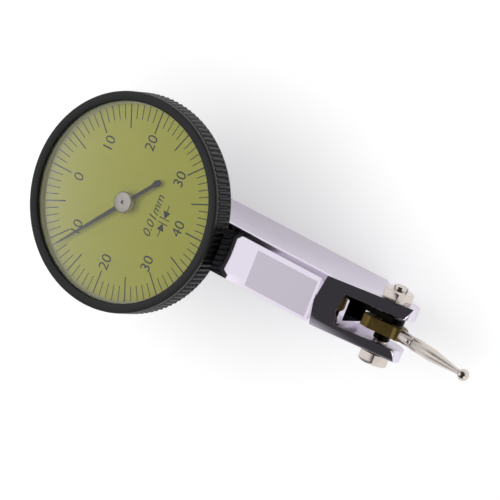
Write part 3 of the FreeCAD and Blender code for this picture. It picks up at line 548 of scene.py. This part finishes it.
class INDICATOR_OT_print(bpy.types.Operator):
    """Division lines, numbers and the value of a division, printed on the dial"""
    bl_idname = "indicator.dial_print"
    bl_label = "Dial print"

    def execute(self, context):
        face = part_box("dial_plate")[1].z
        self.lines(face)
        self.numbers(face)
        self.legend(face)
        return {"FINISHED"}

    def lines(self, face):
        size = sizes()
        bm = bmesh.new()
        for division in range(size.division_count):
            long_line = division % 5 == 0
            start = size.tick_long if long_line else size.tick_short
            width = size.tick_long_width if long_line else size.tick_width
            verts = bmesh.ops.create_cube(bm, size=1.0)["verts"]
            bmesh.ops.scale(bm, vec=(size.tick_outer - start, width, 2 * PRINT_FILM), verts=verts)
            bmesh.ops.translate(bm, vec=((size.tick_outer + start) / 2, 0, face), verts=verts)
            turn = Matrix.Rotation(math.pi - 2 * math.pi * division / size.division_count, 3, "Z")
            bmesh.ops.rotate(bm, cent=(0, 0, 0), matrix=turn, verts=verts)
        add_piece(bm, "dial_lines", "bezel", "ink")

    def numbers(self, face):
        size = sizes()
        values = (0, 10, 20, 30, 40, 30, 20, 10)
        words = []
        for place, value in enumerate(values):
            angle = math.pi - 2 * math.pi * place / len(values)
            bm = printed_word(str(value), size.numeral_height)
            centre = Vector((math.cos(angle), math.sin(angle), 0)) * size.numeral_circle
            centre += Vector((0, 0, face))
            bmesh.ops.transform(bm, matrix=Matrix.Translation(centre) @ Matrix.Rotation(math.pi / 2, 4, "Z"),
                                verts=bm.verts)
            words.append(bm)
        add_piece(joined(words), "dial_numbers", "bezel", "ink")

    def legend(self, face):
        bm = printed_word("0.01mm", sizes().numeral_height * 0.83, 0.25)
        centre = Vector((5.6 * MM, 0.15 * MM, face))
        bmesh.ops.transform(bm, matrix=Matrix.Translation(centre) @ Matrix.Rotation(math.pi / 2, 4, "Z"),
                            verts=bm.verts)
        add_piece(bm, "dial_value", "bezel", "ink")

        # two arrows that point at the gap between two lines: the width of one division
        bm = bmesh.new()
        x, stroke, thick = 7.9 * MM, 0.16 * MM, 2 * PRINT_FILM
        line_length, line_place = 2.1 * MM, 0.42 * MM
        shaft_length, shaft_place = 1.7 * MM, 2.05 * MM
        head_radius, head_place = 0.85 * MM, 1.27 * MM
        for way in (-1, 1):
            line = bmesh.ops.create_cube(bm, size=1.0)["verts"]
            bmesh.ops.scale(bm, vec=(line_length, stroke, thick), verts=line)
            bmesh.ops.translate(bm, vec=(x, way * line_place, face), verts=line)
            shaft = bmesh.ops.create_cube(bm, size=1.0)["verts"]
            bmesh.ops.scale(bm, vec=(stroke, shaft_length, thick), verts=shaft)
            bmesh.ops.translate(bm, vec=(x, way * shaft_place, face), verts=shaft)
            head = bmesh.ops.create_cone(bm, segments=3, radius1=head_radius, radius2=head_radius,
                                         depth=thick, cap_ends=True)["verts"]
            turn = Matrix.Rotation(0 if way < 0 else math.pi, 3, "Z")
            bmesh.ops.rotate(bm, cent=(0, 0, 0), matrix=turn, verts=head)
            bmesh.ops.translate(bm, vec=(x, way * head_place, face), verts=head)
        add_piece(bm, "dial_arrows", "bezel", "ink")


class INDICATOR_OT_hub(bpy.types.Operator):
    """Turned cap over the pointer"""
    bl_idname = "indicator.hub"
    bl_label = "Pointer cap"

    def execute(self, context):
        low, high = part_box("pointer_hub")
        needle_low, needle_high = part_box("pointer")
        radius, top = high.x, high.z
        edge = sizes().hub_bevel
        collar, neck = 1.0 * MM, 0.89 * MM
        hole, hole_edge = 0.28 * MM, 0.08 * MM
        round_edge = [(radius - edge + edge * math.cos(a), top - edge + edge * math.sin(a))
                      for a in (math.pi / 2 * k / 4 for k in range(5))]
        profile = [(hole, low.z), (collar, low.z), (collar, needle_low.z), (neck, needle_low.z),
                   (neck, needle_high.z), (radius, needle_high.z)] + round_edge
        profile += [(hole + hole_edge, top), (hole, top - hole_edge), (hole, low.z)]
        add_piece(spun(profile, 64), "pointer_cap", "pointer", "cap", ("pointer_hub",))
        return {"FINISHED"}


class INDICATOR_OT_fork(bpy.types.Operator):
    """Nuts, pivot screws, lever, collar and the brass holder in the fork"""
    bl_idname = "indicator.fork"
    bl_label = "Fork pieces"

    def execute(self, context):
        edge = sizes().fork_edge
        # CAD node, piece, body, material, slot, share of the edge radius
        rows = (("lock_nut_upper", "nut_upper", "frame", "nickel", "nickel", 1.0),
                ("lock_nut_lower", "nut_lower", "frame", "nickel", "nickel", 1.0),
                ("pivot_screw_upper", "screw_upper", "frame", "nickel", "nickel", 0.5),
                ("pivot_screw_lower", "screw_lower", "frame", "nickel", "nickel", 0.5),
                ("lever_arm", "lever_strip", "lever", "blackened", "blackened", 0.6),
                ("friction_collar", "collar", "lever", "blackened", "blackened", 1.0),
                ("stylus_holder", "holder_block", "stylus", "aged", "bronze", 1.5))
        for cad_node, name, body, material, cad_slot, share in rows:
            bm = softened(cad_node, edge * share)
            add_piece(bm, name, body, material, (cad_node,), 24)
        return {"FINISHED"}


class INDICATOR_OT_stylus(bpy.types.Operator):
    """Turned stylus and its measuring ball"""
    bl_idname = "indicator.stylus"
    bl_label = "Stylus"

    def execute(self, context):
        shank_edge = 0.05 * MM
        bm = softened("stylus", shank_edge)
        add_piece(bm, "stylus_shank", "stylus", "shank", ("stylus",), 24)
        bm = bmesh.new()
        bmesh.ops.create_uvsphere(bm, u_segments=48, v_segments=32, radius=sizes().ball_radius)
        bmesh.ops.translate(bm, vec=centre_of("stylus_ball"), verts=bm.verts)
        add_piece(bm, "measuring_ball", "stylus", "ball", ("stylus_ball",), 60)
        return {"FINISHED"}


class INDICATOR_OT_stage(bpy.types.Operator):
    """Pale floor, soft lamps, sky and the camera"""
    bl_idname = "indicator.stage"
    bl_label = "Stage"

    def execute(self, context):
        self.floor()
        self.sky()
        self.lamps()
        self.camera()
        context.scene.view_settings.view_transform = "Standard"
        return {"FINISHED"}

    def floor(self):
        bm = bmesh.new()
        half_width, drop = 3.0, 0.05 * MM
        bmesh.ops.create_grid(bm, x_segments=1, y_segments=1, size=half_width)
        bmesh.ops.translate(bm, vec=(0, 0, -drop), verts=bm.verts)
        mesh = bpy.data.meshes.new("floor")
        bm.to_mesh(mesh)
        bm.free()
        floor = bpy.data.objects.new("floor", mesh)
        bpy.context.scene.collection.objects.link(floor)
        material, tree, output = new_material("Pale paper floor")
        path = node(tree, "ShaderNodeLightPath")
        grain = node(tree, "ShaderNodeTexNoise", inputs={
            "Vector": node(tree, "ShaderNodeTexCoord").outputs["Object"], "Scale": 400.0})
        relief = node(tree, "ShaderNodeBump", inputs={"Height": grain.outputs["Fac"], "Strength": 0.02,
                                                      "Distance": 0.05 * MM})
        paper = node(tree, "ShaderNodeBsdfDiffuse", inputs={"Color": tuple(colours().floor),
                                                            "Normal": relief.outputs["Normal"]})
        direct = node(tree, "ShaderNodeMath", {"operation": "MAXIMUM"}, {
            0: path.outputs["Is Camera Ray"], 1: path.outputs["Is Glossy Ray"]})
        seen = node(tree, "ShaderNodeMath", {"operation": "MAXIMUM"}, {
            0: direct.outputs["Value"], 1: path.outputs["Is Transmission Ray"]})
        # a small glow, only where the floor is looked at, brings the paper up to white
        lift = node(tree, "ShaderNodeMath", {"operation": "MULTIPLY"}, {0: seen.outputs["Value"], 1: 0.28})
        glow = node(tree, "ShaderNodeEmission", inputs={"Strength": lift.outputs["Value"]})
        both = node(tree, "ShaderNodeAddShader", inputs={
            0: paper.outputs["BSDF"], 1: glow.outputs["Emission"]})
        tree.links.new(both.outputs["Shader"], output.inputs["Surface"])
        mesh.materials.append(material)

    def sky(self):
        """White behind the object; metal reflects a studio that is darker overhead."""
        world = bpy.data.worlds.new("Studio")
        bpy.context.scene.world = world
        world.use_nodes = True
        # the sky is met by rays alone, so that each kind of ray sees its own part of it
        world.cycles.sampling_method = "NONE"
        tree = world.node_tree
        tree.nodes.clear()
        output = node(tree, "ShaderNodeOutputWorld")
        path = node(tree, "ShaderNodeLightPath")
        way = node(tree, "ShaderNodeTexCoord")
        height = node(tree, "ShaderNodeSeparateXYZ", inputs={"Vector": way.outputs["Generated"]})
        dim = node(tree, "ShaderNodeMapRange", {"interpolation_type": "SMOOTHSTEP"}, {
            "Value": height.outputs["Z"], "From Min": 0.25, "From Max": 0.62, "To Min": 0.95, "To Max": 0.05})
        studio, fill, white = (node(tree, "ShaderNodeBackground", inputs={
            "Color": (1, 1, 1, 1), "Strength": strength}) for strength in (dim.outputs["Result"], 0.78, 1.0))
        lit = node(tree, "ShaderNodeMixShader", inputs={
            0: path.outputs["Is Diffuse Ray"], 1: studio.outputs["Background"],
            2: fill.outputs["Background"]})
        seen = node(tree, "ShaderNodeMixShader", inputs={
            0: path.outputs["Is Camera Ray"], 1: lit.outputs["Shader"], 2: white.outputs["Background"]})
        tree.links.new(seen.outputs["Shader"], output.inputs["Surface"])

    def lamps(self):
        aim = Vector((0.02, 0, 0.015))
        # name, way from the aim, distance, width and power, in metres and watts
        rows = (("key", (-0.62, -0.05, 0.78), 0.60, 0.50, 0.8),
                ("front", (0.80, -0.35, 0.45), 0.70, 0.30, 0.35))
        for name, way, distance, width, power in rows:
            data = bpy.data.lights.new(name, "AREA")
            data.shape = "SQUARE"
            data.size = width
            data.energy = power
            lamp = bpy.data.objects.new(name, data)
            direction = Vector(way).normalized()
            lamp.location = aim + direction * distance
            lamp.rotation_mode = "QUATERNION"
            lamp.rotation_quaternion = direction.to_track_quat("Z", "Y")
            bpy.context.scene.collection.objects.link(lamp)

    def camera(self):
        data = bpy.data.cameras.new("camera")
        data.sensor_width = 36.0
        data.lens = 407.3
        data.clip_start, data.clip_end = 0.01, 20.0
        camera = bpy.data.objects.new("camera", data)
        right = Vector((0.77105, 0.36036, -0.52500))
        up = Vector((-0.40849, 0.91238, 0.02632))
        back = Vector((0.48848, 0.19417, 0.85070))
        turn = Matrix((right, up, back)).transposed()
        camera.matrix_world = Matrix.Translation((0.49054, 0.18740, 0.83250)) @ turn.to_4x4()
        bpy.context.scene.collection.objects.link(camera)
        bpy.context.scene.camera = camera


class INDICATOR_PT_panel(bpy.types.Panel):
    """Buttons for the pieces of the indicator"""
    bl_idname = "INDICATOR_PT_panel"
    bl_label = "Dial Test Indicator"
    bl_space_type = "VIEW_3D"
    bl_region_type = "UI"
    bl_category = "Indicator"

    def draw(self, context):
        for operator in OPERATORS:
            self.layout.operator(operator.bl_idname)
        for group in (context.scene.indicator_sizes, context.scene.indicator_colours):
            for name in group.__annotations__:
                self.layout.prop(group, name)


OPERATORS = (INDICATOR_OT_finishes, INDICATOR_OT_body, INDICATOR_OT_bezel, INDICATOR_OT_crystal,
             INDICATOR_OT_print, INDICATOR_OT_hub, INDICATOR_OT_fork, INDICATOR_OT_stylus,
             INDICATOR_OT_stage)
CLASSES = (IndicatorSizes, IndicatorColours) + OPERATORS + (INDICATOR_PT_panel,)


def register():
    for each in CLASSES:
        bpy.utils.register_class(each)
    bpy.types.Scene.indicator_sizes = PointerProperty(type=IndicatorSizes)
    bpy.types.Scene.indicator_colours = PointerProperty(type=IndicatorColours)


def unregister():
    del bpy.types.Scene.indicator_sizes
    del bpy.types.Scene.indicator_colours
    for each in reversed(CLASSES):
        bpy.utils.unregister_class(each)


def main():
    register()
    bpy.ops.indicator.finishes()
    bpy.ops.indicator.body()
    bpy.ops.indicator.bezel()
    bpy.ops.indicator.crystal()
    bpy.ops.indicator.dial_print()
    bpy.ops.indicator.hub()
    bpy.ops.indicator.fork()
    bpy.ops.indicator.stylus()
    bpy.ops.indicator.stage()


if __name__ == "__main__":
    main()
